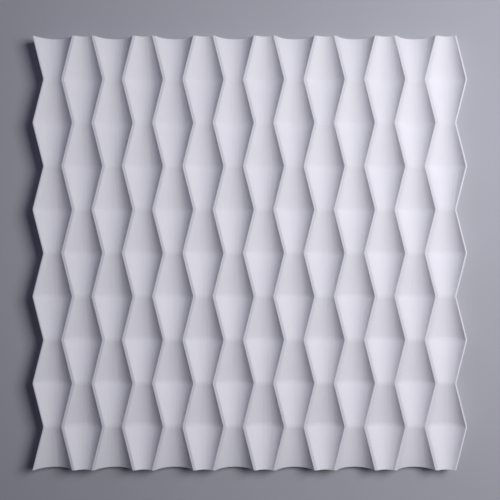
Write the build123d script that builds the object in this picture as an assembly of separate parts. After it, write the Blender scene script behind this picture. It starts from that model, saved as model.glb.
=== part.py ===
from build123d import *
import os

# Wall panel cast in one piece of plaster: a square tile with a flat back and a face of
# knife-narrow ridges. Every ridge zigzags across its own mean line and neighbouring ridges
# swing opposite ways, so the valleys between them turn from wide and deep to narrow and
# shallow and back. The tile is cut along the middle of its first and last ridges, so it has
# zigzag sides that lock into the next tile.
# Frame: the back lies on Z = 0 and the face looks up. X runs across the ridges and Y along
# them. The origin is in the middle of the back. All sizes are in millimetres.

# Layout across the ridges.
VALLEY_COUNT = 14
RIDGE_PITCH = 34.82
RIDGE_SWING = 6.26
RIDGE_WIDTH = 3.3

# Layout along the ridges, from one kink to the next.
BEND_COUNT = 10
BEND_LENGTH = 50.0

# Heights above the back and depths below the ridge tops.
PANEL_THICKNESS = 22.0
WIDE_VALLEY_DEPTH = 13.6
NARROW_VALLEY_DEPTH = 3.3


def kink_y(row):
    """Y of a row of kinks. Row 0 is the lower edge of the tile."""
    return (row - BEND_COUNT / 2) * BEND_LENGTH


def ridge_x(ridge, row):
    """X of a ridge's centre line at a row of kinks. The swing changes side every ridge and row."""
    mean_x = (ridge - VALLEY_COUNT / 2) * RIDGE_PITCH
    swings_left = (ridge + row) % 2 == 0
    return mean_x - RIDGE_SWING if swings_left else mean_x + RIDGE_SWING


def valley_depth(valley, row):
    """Depth of a valley at a row of kinks: full where its two ridges swing apart."""
    ridges_swing_apart = (valley + row) % 2 == 0
    return WIDE_VALLEY_DEPTH if ridges_swing_apart else NARROW_VALLEY_DEPTH


def valley_section(valley, row):
    """Floor of one valley: an arc hung between the edges of its two flat ridge tops."""
    left = ridge_x(valley, row) + RIDGE_WIDTH / 2
    right = ridge_x(valley + 1, row) - RIDGE_WIDTH / 2
    floor_z = PANEL_THICKNESS - valley_depth(valley, row)
    y = kink_y(row)
    return ThreePointArc(
        (left, y, PANEL_THICKNESS),
        ((left + right) / 2, y, floor_z),
        (right, y, PANEL_THICKNESS),
    )


def tile_section(row):
    """Whole section of the tile at a row of kinks, as a face standing across the ridges."""
    y = kink_y(row)
    valleys = [valley_section(valley, row) for valley in range(VALLEY_COUNT)]
    left_side = ridge_x(0, row)
    right_side = ridge_x(VALLEY_COUNT, row)

    edges = []
    corner = (left_side, y, PANEL_THICKNESS)
    for valley in valleys:
        edges.append(Line(corner, valley @ 0))
        edges.append(valley)
        corner = valley @ 1
    sides_and_back = Polyline(
        corner,
        (right_side, y, PANEL_THICKNESS),
        (right_side, y, 0),
        (left_side, y, 0),
        (left_side, y, PANEL_THICKNESS),
    )
    edges.extend(sides_and_back.edges())
    return Face(Wire(edges))


def wave_panel():
    """Tile with straight rulings from one row of kinks to the next, which leaves each kink sharp."""
    return loft([tile_section(row) for row in range(BEND_COUNT + 1)], ruled=True)


os.makedirs("parts", exist_ok=True)
export_step(wave_panel(), "parts/panel.step")
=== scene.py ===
"""Looks of a wall panel cast in one piece of plaster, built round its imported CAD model.

The panel lies on its back with its ridged face up, and the camera looks straight down on it.
Shapes are worked out in millimetres in the CAD frame and put into the meshes in metres: X runs
across the ridges, Y along them and Z out of the face, and the back lies on Z = 0.
"""

import logging
from dataclasses import dataclass, field
from enum import Enum
from math import asin, pi, sqrt

import bpy
import numpy as np
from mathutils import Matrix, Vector


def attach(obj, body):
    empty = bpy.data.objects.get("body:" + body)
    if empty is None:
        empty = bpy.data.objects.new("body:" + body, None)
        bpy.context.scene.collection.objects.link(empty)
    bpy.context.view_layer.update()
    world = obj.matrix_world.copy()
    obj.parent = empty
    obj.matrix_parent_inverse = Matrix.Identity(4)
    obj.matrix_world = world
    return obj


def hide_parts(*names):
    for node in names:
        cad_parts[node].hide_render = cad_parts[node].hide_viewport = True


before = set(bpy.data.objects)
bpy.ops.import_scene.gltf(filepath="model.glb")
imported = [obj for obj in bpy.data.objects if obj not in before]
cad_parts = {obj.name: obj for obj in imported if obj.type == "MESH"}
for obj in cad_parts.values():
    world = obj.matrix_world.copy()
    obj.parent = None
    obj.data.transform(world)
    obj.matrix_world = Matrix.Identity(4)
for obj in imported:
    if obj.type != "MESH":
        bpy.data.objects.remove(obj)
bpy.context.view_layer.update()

MM = 0.001
PICTURE_PX = 500
SENSOR_MM = 36.0
RELIEF_STEP = 0.00001  # metres that one unit of a bump's height stands for

log = logging.getLogger("wall_panel")

Colour = tuple[float, float, float]
Socket = bpy.types.NodeSocket


class Side(Enum):
    """A side of the tile, valued as the sign of its X."""

    LEFT = -1
    RIGHT = 1


@dataclass(frozen=True)
class ValleySection:
    """Section across one valley at a kink: an arc hung between two ridge tops, in millimetres.

    Where the arc meets a ridge top, the arris is rounded by a small fillet inside the plaster.
    """

    half_width: float
    depth: float
    arris: float

    @property
    def radius(self) -> float:
        """Radius of the arc through both rims and the lowest point."""
        return (self.half_width**2 + self.depth**2) / (2 * self.depth)

    def outline(self, arc_steps: int, fillet_steps: int) -> np.ndarray:
        """Works out the section from its left fillet to its right one.

        The arc is the lower part of a circle. A fillet circle lies inside the plaster, touches
        the ridge top, and touches the arc's circle from outside, so the distance between the
        two centres is the sum of the radii, and that gives the fillet's place.

        Args:
            arc_steps: Number of steps along the arc.
            fillet_steps: Number of steps round each fillet.

        Returns:
            Rows of (offset from the valley's middle, depth below the ridge tops).
        """
        radius, arris = self.radius, self.arris
        rise = radius - self.depth
        fillet_x = sqrt((radius + arris) ** 2 - (rise + arris) ** 2)
        reach = asin(fillet_x / (radius + arris))
        turn = np.linspace(-reach, reach, arc_steps + 1)
        arc = np.stack([radius * np.sin(turn), radius * np.cos(turn) - rise], axis=1)
        turn = np.linspace(reach, 0.0, fillet_steps + 1)[1:]
        right = np.stack([fillet_x - arris * np.sin(turn), arris - arris * np.cos(turn)], axis=1)
        left = right[::-1] * (-1.0, 1.0)
        return np.concatenate([left, arc, right])


@dataclass(frozen=True)
class Zigzag:
    """Layout of the ridges and of their kinks, in millimetres.

    A crease is the reach of a kink's rounding to each side. rim_share is the outer share of a
    valley's half width in which its rounding tightens from the floor's to the ridges'.
    """

    valleys: int = 14
    pitch: float = 34.82
    swing: float = 6.26
    bends: int = 10
    bend_length: float = 50.0
    ridge_crease: float = 1.8
    floor_crease: float = 3.5
    crease_rows: int = 9
    rim_share: float = 0.3

    @property
    def half_length(self) -> float:
        """Distance from the middle of the tile to its upper or lower edge."""
        return self.bends * self.bend_length / 2

    def odd_share(self, y: np.ndarray, crease: np.ndarray | float) -> np.ndarray:
        """Share of the odd kinks' section at each Y: 0 on an even row of kinks, 1 on an odd row.

        The share is a triangle wave. Within the crease's reach of a kink inside the tile, its
        corner is a parabola that touches both straight runs, so the kink is softly rounded.

        Args:
            y: Distances along the ridges from the middle of the tile.
            crease: Reach of the rounding to each side of a kink.

        Returns:
            One share for each Y and reach.
        """
        row = y / self.bend_length + self.bends / 2
        nearest = np.clip(np.round(row), 0, self.bends)
        away = np.abs(row - nearest)
        soft = crease / self.bend_length
        inside = (nearest > 0) & (nearest < self.bends) & (away < soft)
        away = np.where(inside, (away**2 + soft**2) / (2 * soft), away)
        return np.where(nearest % 2 == 1, 1.0 - away, away)

    def side_x(self, side: Side, y: np.ndarray) -> np.ndarray:
        """X of the tile's side, which runs along the middle of its outermost ridge, at each Y."""
        mean = side.value * self.valleys / 2 * self.pitch
        return mean - self.swing * (1 - 2 * self.odd_share(y, self.ridge_crease))

    def crease_reach(self, across: np.ndarray) -> np.ndarray:
        """Reach of the kinks' rounding, which is wide on a valley's floor and tight at its rims.

        From the floor's reach to the ridges', it follows a smooth step: three times the square
        of the share of the way, less twice its cube.

        Args:
            across: Places across the valley, from -1 on one rim to 1 on the other.

        Returns:
            The reach at each place.
        """
        share = np.clip((np.abs(across) - (1 - self.rim_share)) / self.rim_share, 0.0, 1.0)
        share = share * share * (3 - 2 * share)
        return self.floor_crease + (self.ridge_crease - self.floor_crease) * share

    def valley_middles(self) -> np.ndarray:
        """X of each valley's middle line, which is straight: its two ridges swing evenly."""
        return (np.arange(self.valleys) + 0.5 - self.valleys / 2) * self.pitch

    def rows(self, runs: int, round_over: np.ndarray) -> np.ndarray:
        """Y of every row of the mesh: even steps along each bend, closer ones on the creases.

        Args:
            runs: Number of steps along the straight part of a bend.
            round_over: Distances from an edge of the tile at which its arris has a row.

        Returns:
            Rising distances along the ridges from the middle of the tile.
        """
        kinks = (np.arange(self.bends + 1) - self.bends / 2) * self.bend_length
        soft = np.linspace(-self.floor_crease, self.floor_crease, self.crease_rows)
        creases = (kinks[1:-1, None] + soft).ravel()
        clear = self.bend_length - self.floor_crease
        steps = np.linspace(self.floor_crease, clear, runs + 1)[1:-1]
        bends = (kinks[:-1, None] + steps).ravel()
        ends = self.half_length - round_over
        return np.sort(np.concatenate([creases, bends, ends, -ends]))


@dataclass(frozen=True)
class NodeBench:
    """Adds nodes to one node tree and joins their sockets."""

    tree: bpy.types.NodeTree

    def add(self, kind: str, **settings: object) -> bpy.types.Node:
        """Adds a node.

        Args:
            kind: The node's type name.
            settings: Its properties by name.

        Returns:
            The new node.
        """
        node = self.tree.nodes.new(kind)
        for name, value in settings.items():
            setattr(node, name, value)
        return node

    def feed(self, node: bpy.types.Node, **inputs: object) -> bpy.types.Node:
        """Sets or links inputs of a node.

        Args:
            node: The node.
            inputs: A value or a source socket for each input, by its name with underscores.

        Returns:
            The same node.
        """
        for name, value in inputs.items():
            target = node.inputs[name.replace("_", " ")]
            if isinstance(value, Socket):
                self.tree.links.new(value, target)
            else:
                target.default_value = value
        return node

    def calc(self, operation: str, *terms: object) -> Socket:
        """Works a Math node.

        Args:
            operation: The node's operation.
            terms: Its numbers or source sockets in order.

        Returns:
            The result's socket.
        """
        node = self.add("ShaderNodeMath", operation=operation)
        for target, term in zip(node.inputs, terms):
            if isinstance(term, Socket):
                self.tree.links.new(term, target)
            else:
                target.default_value = term
        return node.outputs[0]

    def ramp(self, value: Socket, low: float, high: float, start: float, end: float) -> Socket:
        """Maps a value smoothly from one span to another.

        Args:
            value: The source.
            low: The value that gives start.
            high: The value that gives end.
            start: The result at low and below.
            end: The result at high and above.

        Returns:
            The result's socket.
        """
        node = self.add("ShaderNodeMapRange", interpolation_type="SMOOTHSTEP")
        self.feed(node, Value=value, From_Min=low, From_Max=high, To_Min=start, To_Max=end)
        return node.outputs["Result"]

    def blend(self, share: Socket, first: object, second: object) -> Socket:
        """Blends two colours.

        Args:
            share: The second colour's share.
            first: A colour or its socket.
            second: A colour or its socket.

        Returns:
            The blended colour's socket.
        """
        node = self.add("ShaderNodeMix", data_type="RGBA")
        colours = [socket for socket in node.inputs if socket.type == "RGBA"]
        self.tree.links.new(share, node.inputs[0])
        for target, colour in zip(colours, (first, second)):
            if isinstance(colour, Socket):
                self.tree.links.new(colour, target)
            else:
                target.default_value = (*colour, 1.0)
        return next(socket for socket in node.outputs if socket.type == "RGBA")

    def split(self, place: Socket) -> tuple[Socket, Socket, Socket]:
        """Splits a place into its parts.

        Args:
            place: The place.

        Returns:
            The sockets of its X, Y and Z.
        """
        node = self.add("ShaderNodeSeparateXYZ")
        self.feed(node, Vector=place)
        return node.outputs["X"], node.outputs["Y"], node.outputs["Z"]

    def bump(self, height: Socket) -> Socket:
        """Turns fine relief into a normal.

        Args:
            height: The relief, counted in relief steps.

        Returns:
            The normal's socket.
        """
        node = self.add("ShaderNodeBump")
        self.feed(node, Height=height, Distance=RELIEF_STEP, Strength=1.0)
        return node.outputs["Normal"]

    def finish_surface(self, **inputs: object) -> None:
        """Adds a material's shader and its output.

        Args:
            inputs: The shader's values or source sockets, by name with underscores.
        """
        shader = self.add("ShaderNodeBsdfPrincipled")
        output = self.add("ShaderNodeOutputMaterial")
        self.feed(shader, **inputs)
        self.feed(output, Surface=shader.outputs["BSDF"])


@dataclass(frozen=True)
class Effect:
    """A shader node group with named inputs and outputs, built once and used by any finish."""

    name: str
    inputs: tuple[tuple[str, str, float], ...]
    outputs: tuple[str, ...]

    def open(self) -> tuple[NodeBench, bpy.types.Node, bpy.types.Node]:
        """Makes the empty group with its sockets.

        Returns:
            The bench for its tree, its input node and its output node.
        """
        tree = bpy.data.node_groups.new(self.name, "ShaderNodeTree")
        for name, kind, value in self.inputs:
            socket = tree.interface.new_socket(name=name, in_out="INPUT", socket_type=kind)
            if kind == "NodeSocketFloat":
                socket.default_value = value
        for name in self.outputs:
            tree.interface.new_socket(name=name, in_out="OUTPUT", socket_type="NodeSocketFloat")
        bench = NodeBench(tree)
        return bench, bench.add("NodeGroupInput"), bench.add("NodeGroupOutput")


def clouds_effect() -> bpy.types.NodeTree:
    """Builds the group for soft blotches of tone.

    The mask is fractal noise of the given size, stretched to the span from 0 to 1.

    Returns:
        The node group, with inputs Place and Size and output Mask.
    """
    effect = Effect(
        "soft_clouds",
        (("Place", "NodeSocketVector", 0.0), ("Size", "NodeSocketFloat", 0.05)),
        ("Mask",),
    )
    bench, source, target = effect.open()
    scale = bench.calc("DIVIDE", 1.0, source.outputs["Size"])
    noise = bench.add("ShaderNodeTexNoise")
    bench.feed(noise, Vector=source.outputs["Place"], Scale=scale, Detail=3.0, Roughness=0.55)
    mask = bench.ramp(noise.outputs["Fac"], 0.3, 0.7, 0.0, 1.0)
    bench.feed(target, Mask=mask)
    return bench.tree


def grain_effect() -> bpy.types.NodeTree:
    """Builds the group for the fine tooth of a set surface.

    The height is two sizes of noise added up, the finer one at half weight.

    Returns:
        The node group, with inputs Place and Size and output Height.
    """
    effect = Effect(
        "fine_grain",
        (("Place", "NodeSocketVector", 0.0), ("Size", "NodeSocketFloat", 0.001)),
        ("Height",),
    )
    bench, source, target = effect.open()
    place = source.outputs["Place"]
    scale = bench.calc("DIVIDE", 1.0, source.outputs["Size"])
    coarse = bench.add("ShaderNodeTexNoise")
    bench.feed(coarse, Vector=place, Scale=scale, Detail=2.0, Roughness=0.6)
    fine = bench.add("ShaderNodeTexNoise")
    bench.feed(fine, Vector=place, Scale=bench.calc("MULTIPLY", scale, 3.1), Detail=1.0)
    half = bench.calc("MULTIPLY", fine.outputs["Fac"], 0.5)
    bench.feed(target, Height=bench.calc("ADD", coarse.outputs["Fac"], half))
    return bench.tree


def streaks_effect() -> bpy.types.NodeTree:
    """Builds the group for faint drawn lines, such as those of a mould maker or a straightedge.

    The height is noise whose place is divided by one size along X and another along Y, so each
    blotch is long and thin.

    Returns:
        The node group, with inputs Place, X Size and Y Size, and output Height.
    """
    effect = Effect(
        "drawn_streaks",
        (
            ("Place", "NodeSocketVector", 0.0),
            ("X Size", "NodeSocketFloat", 0.003),
            ("Y Size", "NodeSocketFloat", 0.12),
        ),
        ("Height",),
    )
    bench, source, target = effect.open()
    x, y, _ = bench.split(source.outputs["Place"])
    squeezed = bench.add("ShaderNodeCombineXYZ")
    bench.feed(
        squeezed,
        X=bench.calc("DIVIDE", x, source.outputs["X Size"]),
        Y=bench.calc("DIVIDE", y, source.outputs["Y Size"]),
    )
    noise = bench.add("ShaderNodeTexNoise")
    bench.feed(noise, Vector=squeezed.outputs[0], Scale=1.0, Detail=2.0, Roughness=0.5)
    bench.feed(target, Height=noise.outputs["Fac"])
    return bench.tree


def ruled_effect() -> bpy.types.NodeTree:
    """Builds the group that says how far across the ridges a place lies, along the rulings.

    Ridge lines are numbered from the left side. An even one lies at its number less the swing
    and an odd one at its number plus the swing, where the swing is counted in pitches and runs
    as a triangle wave along Y. A place keeps its share of the way from one ridge line to the
    next, so a line of one value follows the zigzag without crossing a ridge.

    Returns:
        The node group, with inputs Place, Pitch, Swing, Bend, Valleys and Bends, and output
        Across, in metres.
    """
    effect = Effect(
        "ruled_lines",
        (
            ("Place", "NodeSocketVector", 0.0),
            ("Pitch", "NodeSocketFloat", 0.035),
            ("Swing", "NodeSocketFloat", 0.006),
            ("Bend", "NodeSocketFloat", 0.05),
            ("Valleys", "NodeSocketFloat", 14.0),
            ("Bends", "NodeSocketFloat", 10.0),
        ),
        ("Across",),
    )
    bench, source, target = effect.open()
    given, calc = source.outputs, bench.calc
    x, y, _ = bench.split(given["Place"])
    half_bends = calc("MULTIPLY", given["Bends"], 0.5)
    row = calc("ADD", calc("DIVIDE", y, given["Bend"]), half_bends)
    wave = calc("MULTIPLY_ADD", calc("PINGPONG", row, 1.0), -2.0, 1.0)
    swing = calc("MULTIPLY", calc("DIVIDE", given["Swing"], given["Pitch"]), wave)
    half_valleys = calc("MULTIPLY", given["Valleys"], 0.5)
    count = calc("ADD", calc("DIVIDE", x, given["Pitch"]), half_valleys)
    nearest = calc("ROUND", count)
    parity = calc("MULTIPLY_ADD", calc("PINGPONG", nearest, 1.0), -2.0, 1.0)
    lean = calc("MULTIPLY", parity, swing)
    away = calc("ADD", calc("SUBTRACT", count, nearest), lean)
    side = calc("MULTIPLY_ADD", calc("GREATER_THAN", away, 0.0), 2.0, -1.0)
    gap = calc("MULTIPLY_ADD", calc("MULTIPLY", lean, side), 2.0, 1.0)
    across = calc("ADD", nearest, calc("DIVIDE", away, gap))
    bench.feed(target, Across=calc("MULTIPLY", across, given["Pitch"]))
    return bench.tree


def pinholes_effect() -> bpy.types.NodeTree:
    """Builds the group for the few tiny air holes of a casting.

    Cells of the given spacing each hold one round pit about their own point, and each cell's
    own random number picks whether it is open. The mask falls from 1 in the middle of a pit to
    0 at its rim.

    Returns:
        The node group, with inputs Place, Spacing, Width and Share, and output Mask.
    """
    effect = Effect(
        "pinholes",
        (
            ("Place", "NodeSocketVector", 0.0),
            ("Spacing", "NodeSocketFloat", 0.008),
            ("Width", "NodeSocketFloat", 0.0005),
            ("Share", "NodeSocketFloat", 0.3),
        ),
        ("Mask",),
    )
    bench, source, target = effect.open()
    spacing = source.outputs["Spacing"]
    scale = bench.calc("DIVIDE", 1.0, spacing)
    cells = bench.add("ShaderNodeTexVoronoi", feature="F1")
    bench.feed(cells, Vector=source.outputs["Place"], Scale=scale)
    reach = bench.calc("MULTIPLY", cells.outputs["Distance"], spacing)
    half = bench.calc("MULTIPLY", source.outputs["Width"], 0.5)
    depth = bench.calc("SUBTRACT", 1.0, bench.calc("DIVIDE", reach, half))
    pit = bench.ramp(depth, 0.0, 0.6, 0.0, 1.0)
    draw = bench.add("ShaderNodeSeparateColor")
    bench.feed(draw, Color=cells.outputs["Color"])
    kept = bench.calc("LESS_THAN", draw.outputs["Red"], source.outputs["Share"])
    bench.feed(target, Mask=bench.calc("MULTIPLY", pit, kept))
    return bench.tree


@dataclass(frozen=True)
class Effects:
    """The node groups that the finishes share."""

    clouds: bpy.types.NodeTree = field(default_factory=clouds_effect)
    grain: bpy.types.NodeTree = field(default_factory=grain_effect)
    streaks: bpy.types.NodeTree = field(default_factory=streaks_effect)
    ruled: bpy.types.NodeTree = field(default_factory=ruled_effect)
    pinholes: bpy.types.NodeTree = field(default_factory=pinholes_effect)

    @staticmethod
    def place(
        bench: NodeBench, group: bpy.types.NodeTree, **inputs: object
    ) -> bpy.types.NodeOutputs:
        """Puts a group into a material.

        Args:
            bench: The material's bench.
            group: The group.
            inputs: Its values or source sockets, by name with underscores.

        Returns:
            The group node's outputs.
        """
        node = bench.add("ShaderNodeGroup", node_tree=group)
        bench.feed(node, **inputs)
        return node.outputs


def new_material(name: str) -> tuple[bpy.types.Material, NodeBench]:
    """Makes an empty node material.

    Args:
        name: Its name.

    Returns:
        The material and a bench for its nodes.
    """
    material = bpy.data.materials.new(name)
    material.use_nodes = True
    material.node_tree.nodes.clear()
    return material, NodeBench(material.node_tree)


@dataclass(frozen=True)
class AirHoles:
    """Pinholes of one kind, with their spacing and width in metres and the share that is open."""

    spacing: float
    width: float
    share: float

    def mask(self, bench: NodeBench, effects: Effects, place: Socket) -> Socket:
        """Places the group of pinholes.

        Args:
            bench: The material's bench.
            effects: The shared node groups.
            place: The place on the object.

        Returns:
            The socket of the holes' mask.
        """
        sizes = {"Spacing": self.spacing, "Width": self.width, "Share": self.share}
        return effects.place(bench, effects.pinholes, Place=place, **sizes)["Mask"]


@dataclass(frozen=True)
class DrawnLines:
    """Faint lines of one kind, sized along X and Y in metres, and high in relief steps."""

    x_size: float
    y_size: float
    height: float

    def relief(self, bench: NodeBench, effects: Effects, place: Socket) -> Socket:
        """Places the group of drawn lines.

        Args:
            bench: The material's bench.
            effects: The shared node groups.
            place: The place on the object.

        Returns:
            The socket of the lines' height.
        """
        sizes = {"X_Size": self.x_size, "Y_Size": self.y_size}
        lines = effects.place(bench, effects.streaks, Place=place, **sizes)
        return bench.calc("MULTIPLY", lines["Height"], self.height)


@dataclass(frozen=True)
class CastPlaster:
    """Dry white gypsum plaster, smooth and matte where the mould shaped it.

    The face keeps the faint lines that the mould has along its rulings. The back is the open
    side of the pour, struck off with a straightedge: its tooth is coarser, it has more open air
    holes, and long faint lines run along the stroke. It reaches back_reach up from Z = 0. Sizes
    are in metres, and the height of a tooth or the depth of a pit is in relief steps.
    """

    tone: Colour = (0.86, 0.852, 0.872)
    dull_tone: Colour = (0.835, 0.828, 0.85)
    back_tone: Colour = (0.81, 0.8, 0.79)
    dull_back_tone: Colour = (0.74, 0.73, 0.72)
    # Painted shade: the darker tone the air holes are blended toward, standing in for the shade
    # inside each hole
    pit_shade_tone: Colour = (0.45, 0.44, 0.45)
    cloud_size: float = 0.07
    grain_size: float = 0.0009
    face_tooth: float = 1.0
    back_tooth: float = 5.0
    face_lines: DrawnLines = DrawnLines(0.0032, 0.09, 29.0)
    back_lines: DrawnLines = DrawnLines(0.22, 0.0022, 45.0)
    face_holes: AirHoles = AirHoles(0.009, 0.00045, 0.16)
    back_holes: AirHoles = AirHoles(0.005, 0.0011, 0.45)
    pit_shade: float = 0.5
    pit_depth: float = 12.0
    roughness: tuple[float, float] = (0.74, 0.84)
    back_roughness: float = 0.92
    specular: float = 0.25
    back_reach: float = 0.0006
    layout: Zigzag = field(default_factory=Zigzag)

    def make(self, effects: Effects) -> bpy.types.Material:
        """Builds the material.

        Args:
            effects: The shared node groups.

        Returns:
            The material.
        """
        material, bench = new_material("cast_plaster")
        place = bench.add("ShaderNodeTexCoord").outputs["Object"]
        _, _, z = bench.split(place)
        back = bench.ramp(z, self.back_reach / 2, self.back_reach, 1.0, 0.0)
        clouds = effects.place(bench, effects.clouds, Place=place, Size=self.cloud_size)["Mask"]
        back_pits = bench.calc("MULTIPLY", self.back_holes.mask(bench, effects, place), back)
        pits = bench.calc("MAXIMUM", self.face_holes.mask(bench, effects, place), back_pits)

        face_colour = bench.blend(clouds, self.tone, self.dull_tone)
        back_colour = bench.blend(clouds, self.back_tone, self.dull_back_tone)
        colour = bench.blend(back, face_colour, back_colour)
        # Painted shade: darkens the colour inside the air holes, by pit_shade, toward the darker
        # hole tone
        colour = bench.blend(bench.calc("MULTIPLY", pits, self.pit_shade), colour, self.pit_shade_tone)
        face_roughness = bench.ramp(clouds, 0.0, 1.0, *self.roughness)
        back_roughness = bench.calc("MULTIPLY", back, self.back_roughness)
        bench.finish_surface(
            Base_Color=colour,
            Roughness=bench.calc("MAXIMUM", face_roughness, back_roughness),
            Normal=self.relief(bench, effects, place, back, pits),
            Specular_IOR_Level=self.specular,
        )
        return material

    def relief(
        self,
        bench: NodeBench,
        effects: Effects,
        place: Socket,
        back: Socket,
        pits: Socket,
    ) -> Socket:
        """Builds the surface's fine relief as one normal.

        The face has lines along its rulings and a fine tooth, the back has lines along the
        stroke and a coarser tooth, and the pits are sunk into both.

        Args:
            bench: The material's bench.
            effects: The shared node groups.
            place: The place on the object.
            back: The mask of the struck back.
            pits: The mask of the open air holes.

        Returns:
            The normal's socket.
        """
        calc = bench.calc
        grain = effects.place(bench, effects.grain, Place=place, Size=self.grain_size)["Height"]
        ruled = self.face_lines.relief(bench, effects, self.along_rulings(bench, effects, place))
        face = calc("ADD", ruled, calc("MULTIPLY", grain, self.face_tooth))
        struck = self.back_lines.relief(bench, effects, place)
        struck = calc("ADD", struck, calc("MULTIPLY", grain, self.back_tooth))
        skin = calc("MULTIPLY", face, calc("SUBTRACT", 1.0, back))
        skin = calc("ADD", skin, calc("MULTIPLY", struck, back))
        return bench.bump(calc("SUBTRACT", skin, calc("MULTIPLY", pits, self.pit_depth)))

    def along_rulings(self, bench: NodeBench, effects: Effects, place: Socket) -> Socket:
        """Bends the place so that its X follows the zigzag of the rulings.

        Args:
            bench: The material's bench.
            effects: The shared node groups.
            place: The place on the object.

        Returns:
            The bent place's socket.
        """
        layout = self.layout
        ruled = effects.place(
            bench,
            effects.ruled,
            Place=place,
            Pitch=layout.pitch * MM,
            Swing=layout.swing * MM,
            Bend=layout.bend_length * MM,
            Valleys=float(layout.valleys),
            Bends=float(layout.bends),
        )
        _, y, z = bench.split(place)
        bent = bench.add("ShaderNodeCombineXYZ")
        bench.feed(bent, X=ruled["Across"], Y=y, Z=z)
        return bent.outputs[0]


@dataclass(frozen=True)
class StudioFloor:
    """Plain pale painted floor of the studio, in metres."""

    half_width: float = 15.0
    tone: Colour = (0.47, 0.47, 0.5)
    dull_tone: Colour = (0.45, 0.45, 0.48)
    cloud_size: float = 0.4
    grain_size: float = 0.002
    roughness: float = 0.9
    specular: float = 0.2

    def build(self, effects: Effects) -> bpy.types.Object:
        """Builds the floor as a flat square under the panel.

        Args:
            effects: The shared node groups.

        Returns:
            The floor.
        """
        corner = np.array([(-1, -1, 0), (1, -1, 0), (1, 1, 0), (-1, 1, 0)]) * self.half_width
        mesh = bpy.data.meshes.new("floor")
        mesh.from_pydata(corner.tolist(), [], [(0, 1, 2, 3)])
        mesh.materials.append(self.paint(effects))
        floor = bpy.data.objects.new("floor", mesh)
        bpy.context.scene.collection.objects.link(floor)
        return floor

    def paint(self, effects: Effects) -> bpy.types.Material:
        """Builds the floor's matte paint with its faint unevenness.

        Args:
            effects: The shared node groups.

        Returns:
            The material.
        """
        material, bench = new_material("pale_floor_paint")
        place = bench.add("ShaderNodeTexCoord").outputs["Object"]
        clouds = effects.place(bench, effects.clouds, Place=place, Size=self.cloud_size)["Mask"]
        grain = effects.place(bench, effects.grain, Place=place, Size=self.grain_size)["Height"]
        bench.finish_surface(
            Base_Color=bench.blend(clouds, self.tone, self.dull_tone),
            Roughness=self.roughness,
            Normal=bench.bump(grain),
            Specular_IOR_Level=self.specular,
        )
        return material


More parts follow.
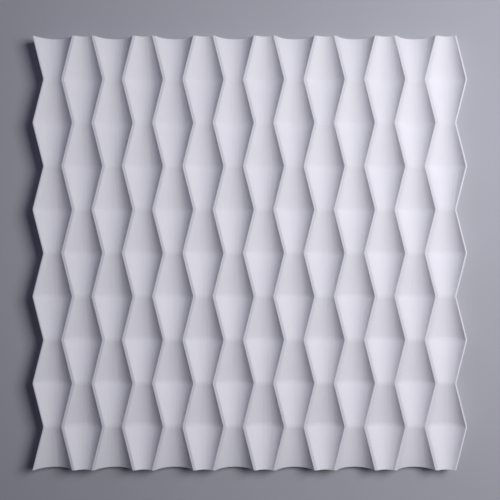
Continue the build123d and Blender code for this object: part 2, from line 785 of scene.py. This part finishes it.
@dataclass
class WavePanel:
    """The cast tile: a ridged face, zigzag sides, wavy ends and a flat struck back.

    Sizes are in millimetres. Edges that turn by more than sharp_angle, in radians, are shaded
    sharp. The steps are those along a valley's arc, round an arris and along a straight run.
    """

    layout: Zigzag = field(default_factory=Zigzag)
    thickness: float = 22.0
    ridge_width: float = 3.3
    wide_depth: float = 13.6
    narrow_depth: float = 3.3
    arris: float = 0.3
    sharp_angle: float = 0.7
    arc_steps: int = 26
    fillet_steps: int = 3
    run_steps: int = 6

    def sections(self) -> tuple[np.ndarray, np.ndarray]:
        """Works out a valley's section at its two kinds of kink.

        Returns:
            The outline where its ridges swing apart, and the one where they close in.
        """
        half_mean = self.layout.pitch / 2 - self.ridge_width / 2
        wide = ValleySection(half_mean + self.layout.swing, self.wide_depth, self.arris)
        narrow = ValleySection(half_mean - self.layout.swing, self.narrow_depth, self.arris)
        return (
            wide.outline(self.arc_steps, self.fillet_steps),
            narrow.outline(self.arc_steps, self.fillet_steps),
        )

    def face_grid(self) -> np.ndarray:
        """Works out the ridged face with the rounded arris all round it.

        Every line across the tile is a blend of the wide and the narrow section, in shares
        that change evenly from one kink to the next, which rules each valley straight. Even
        and odd valleys swap shares. At the tile's edges, a quarter circle turns the face down,
        outwards by radius times the cosine and down by radius times one less the sine.

        Returns:
            An array of rows along Y, points along X, and (x, y, z).
        """
        turn = np.linspace(0.0, pi / 2, self.fillet_steps + 1)
        layout, arris = self.layout, self.arris
        y = layout.rows(self.run_steps, arris * (1 - np.sin(turn)))
        wide, narrow = self.sections()
        across = np.clip(wide[:, 0] / np.abs(wide[:, 0]).max(), -1.0, 1.0)
        odd = layout.odd_share(y[:, None], layout.crease_reach(across)[None, :])[:, None, :]
        is_odd = (np.arange(layout.valleys) % 2)[None, :, None]
        share = np.where(is_odd == 1, 1 - odd, odd)
        offset = wide[:, 0] * (1 - share) + narrow[:, 0] * share
        depth = wide[:, 1] * (1 - share) + narrow[:, 1] * share
        x = (layout.valley_middles()[None, :, None] + offset).reshape(len(y), -1)
        z = self.thickness - depth.reshape(len(y), -1)

        inward, drop = arris * (1 - np.cos(turn)), arris * (1 - np.sin(turn))
        left = layout.side_x(Side.LEFT, y)[:, None] + inward
        right = layout.side_x(Side.RIGHT, y)[:, None] - inward[::-1]
        rim = np.broadcast_to(self.thickness - drop, left.shape)
        x = np.concatenate([left, x, right], axis=1)
        z = np.concatenate([rim, z, rim[:, ::-1]], axis=1)

        over = np.clip(np.abs(y) - (layout.half_length - arris), 0.0, arris)
        z = z - (arris - np.sqrt(arris**2 - over**2))[:, None]
        return np.stack([x, np.broadcast_to(y[:, None], x.shape), z], axis=2)

    @staticmethod
    def rim_path(rows: int, columns: int) -> np.ndarray:
        """Indices of the grid's outermost points, once round, seen anticlockwise from above."""
        grid = np.arange(rows * columns).reshape(rows, columns)
        return np.concatenate([grid[0, :-1], grid[:-1, -1], grid[-1, :0:-1], grid[:0:-1, 0]])

    def side_rings(self, face: np.ndarray, rim: np.ndarray) -> np.ndarray:
        """Works out the rings below the rim, down the sides and round the back's arris.

        A side drops plumb from the rim to one arris above the back. From there, a quarter
        circle turns it in, by radius times one less the cosine, while it falls to the back.

        Args:
            face: The face's grid.
            rim: Indices of its outermost points.

        Returns:
            An array of rings, points round the rim, and (x, y, z).
        """
        rows, columns = face.shape[:2]
        row, column = np.divmod(rim, columns)
        turn_x = np.where(column == 0, 1.0, 0.0) - np.where(column == columns - 1, 1.0, 0.0)
        turn_y = np.where(row == 0, 1.0, 0.0) - np.where(row == rows - 1, 1.0, 0.0)
        top = face.reshape(-1, 3)[rim]
        turn = np.linspace(0.0, pi / 2, self.fillet_steps + 1)[:, None]
        inward = self.arris * (1 - np.cos(turn))
        x = top[:, 0] + inward * turn_x
        y = top[:, 1] + inward * turn_y
        z = np.broadcast_to(self.arris * (1 - np.sin(turn)), x.shape)
        return np.stack([x, y, z], axis=2)

    def back_faces(self, rows: int, columns: int, first: int) -> list[list[int]]:
        """Lists the faces of the flat back: a strip for each row, and one for each end.

        Args:
            rows: Number of rows of the face's grid.
            columns: Number of its columns.
            first: Index of the last ring's first point.

        Returns:
            Lists of vertex indices, seen anticlockwise from below.
        """
        total = 2 * (rows + columns) - 4
        right = first + columns - 1 + np.arange(rows)
        left = first + (total - np.arange(rows)) % total
        strips = np.stack([left[1:-2], left[2:-1], right[2:-1], right[1:-2]], axis=1)
        lower_edge = np.arange(right[0], first - 1, -1)
        upper_edge = np.arange(left[-1], right[-1] - 1, -1)
        lower = np.concatenate([lower_edge, [left[1], right[1]]])
        upper = np.concatenate([upper_edge, [right[-2], left[-2]]])
        return [*strips.tolist(), lower.tolist(), upper.tolist()]

    def build(self) -> bpy.types.Object:
        """Builds the panel as one closed mesh.

        Returns:
            The panel, at the origin, with its place in its mesh.
        """
        face = self.face_grid()
        rows, columns = face.shape[:2]
        rim = self.rim_path(rows, columns)
        rings = self.side_rings(face, rim)
        grid = np.arange(rows * columns).reshape(rows, columns)
        quads = np.stack([grid[:-1, :-1], grid[:-1, 1:], grid[1:, 1:], grid[1:, :-1]], axis=2)
        ring_ids = np.arange(rings.shape[0] * len(rim)).reshape(rings.shape[:2]) + grid.size
        loops = np.concatenate([rim[None, :], ring_ids])
        after = np.roll(loops, -1, axis=1)
        sides = np.stack([loops[:-1], loops[1:], after[1:], after[:-1]], axis=2)
        faces = np.concatenate([quads.reshape(-1, 4), sides.reshape(-1, 4)]).tolist()
        faces += self.back_faces(rows, columns, int(ring_ids[-1, 0]))
        points = np.concatenate([face.reshape(-1, 3), rings.reshape(-1, 3)]) * MM

        mesh = bpy.data.meshes.new("plaster_panel")
        mesh.from_pydata(points.tolist(), [], faces)
        mesh.polygons.foreach_set("use_smooth", np.ones(len(mesh.polygons), bool))
        mesh.set_sharp_from_angle(angle=self.sharp_angle)
        mesh.update()
        panel = bpy.data.objects.new("plaster_panel", mesh)
        bpy.context.scene.collection.objects.link(panel)
        shading = panel.modifiers.new("flat_runs", "WEIGHTED_NORMAL")
        shading.keep_sharp = True
        return panel

    def dress(self, panel: bpy.types.Object, plaster: bpy.types.Material) -> None:
        """Gives the panel its finish and its place on the CAD frame.

        Args:
            panel: The panel's object.
            plaster: Its material.
        """
        panel.data.materials.append(plaster)
        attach(panel, "root")
        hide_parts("panel")


@dataclass(frozen=True)
class OverheadCamera:
    """Camera straight above the panel, framed as in the photograph, in millimetres.

    In the picture, the panel is panel_px wide, and its middle lies at middle_px.
    """

    distance: float = 782.0
    panel_width: float = 500.0
    panel_px: float = 435.0
    middle_px: tuple[float, float] = (249.8, 253.05)

    def build(self, top: float) -> bpy.types.Object:
        """Builds the camera.

        Args:
            top: Height of the ridge tops above the floor.

        Returns:
            The camera.
        """
        scale = self.panel_width / self.panel_px
        data = bpy.data.cameras.new("camera")
        data.sensor_width = SENSOR_MM
        data.lens = SENSOR_MM * self.distance / (PICTURE_PX * scale)
        camera = bpy.data.objects.new("camera", data)
        across = (PICTURE_PX / 2 - self.middle_px[0]) * scale
        along = (self.middle_px[1] - PICTURE_PX / 2) * scale
        camera.location = Vector((across, along, top + self.distance)) * MM
        bpy.context.scene.collection.objects.link(camera)
        bpy.context.scene.camera = camera
        return camera


@dataclass(frozen=True)
class SoftLight:
    """Square soft lamp aimed at the middle of the panel, in metres and watts."""

    name: str
    place: tuple[float, float, float]
    side: float
    power: float
    colour: Colour

    def build(self) -> bpy.types.Object:
        """Builds the lamp.

        Returns:
            The lamp.
        """
        data = bpy.data.lights.new(self.name, "AREA")
        data.shape = "SQUARE"
        data.size = self.side
        data.energy = self.power
        data.color = self.colour
        lamp = bpy.data.objects.new(self.name, data)
        lamp.location = self.place
        lamp.rotation_euler = (-Vector(self.place)).to_track_quat("-Z", "Y").to_euler()
        bpy.context.scene.collection.objects.link(lamp)
        return lamp


@dataclass(frozen=True)
class Studio:
    """Floor, lamps and surrounding light."""

    floor: StudioFloor = field(default_factory=StudioFloor)
    key: SoftLight = SoftLight("key_light", (0.61, 0.226, 0.895), 0.54, 9.42, (1.0, 1.0, 1.07))
    fill: SoftLight = SoftLight("fill_light", (-1.13, 1.13, 1.0), 1.2, 1.85, (1.0, 1.0, 1.6))
    surround: Colour = (0.021, 0.021, 0.03)

    def build(self, effects: Effects) -> None:
        """Builds the studio round the panel.

        Args:
            effects: The shared node groups.
        """
        self.floor.build(effects)
        self.key.build()
        self.fill.build()
        world = bpy.data.worlds.new("studio_air")
        world.use_nodes = True
        backdrop = world.node_tree.nodes["Background"]
        backdrop.inputs["Color"].default_value = (*self.surround, 1.0)
        scene = bpy.context.scene
        scene.world = world
        scene.view_settings.view_transform = "Standard"


def main() -> None:
    """Builds the panel and the studio, and reports each piece."""
    logging.basicConfig(level=logging.INFO, format="%(name)s: %(message)s")
    effects = Effects()
    panel = WavePanel()
    piece = panel.build()
    panel.dress(piece, CastPlaster().make(effects))
    log.info("%s: %d faces", piece.name, len(piece.data.polygons))
    Studio().build(effects)
    camera = OverheadCamera().build(panel.thickness)
    log.info("%s: lens %.1f mm", camera.name, camera.data.lens)


if __name__ == "__main__":
    main()
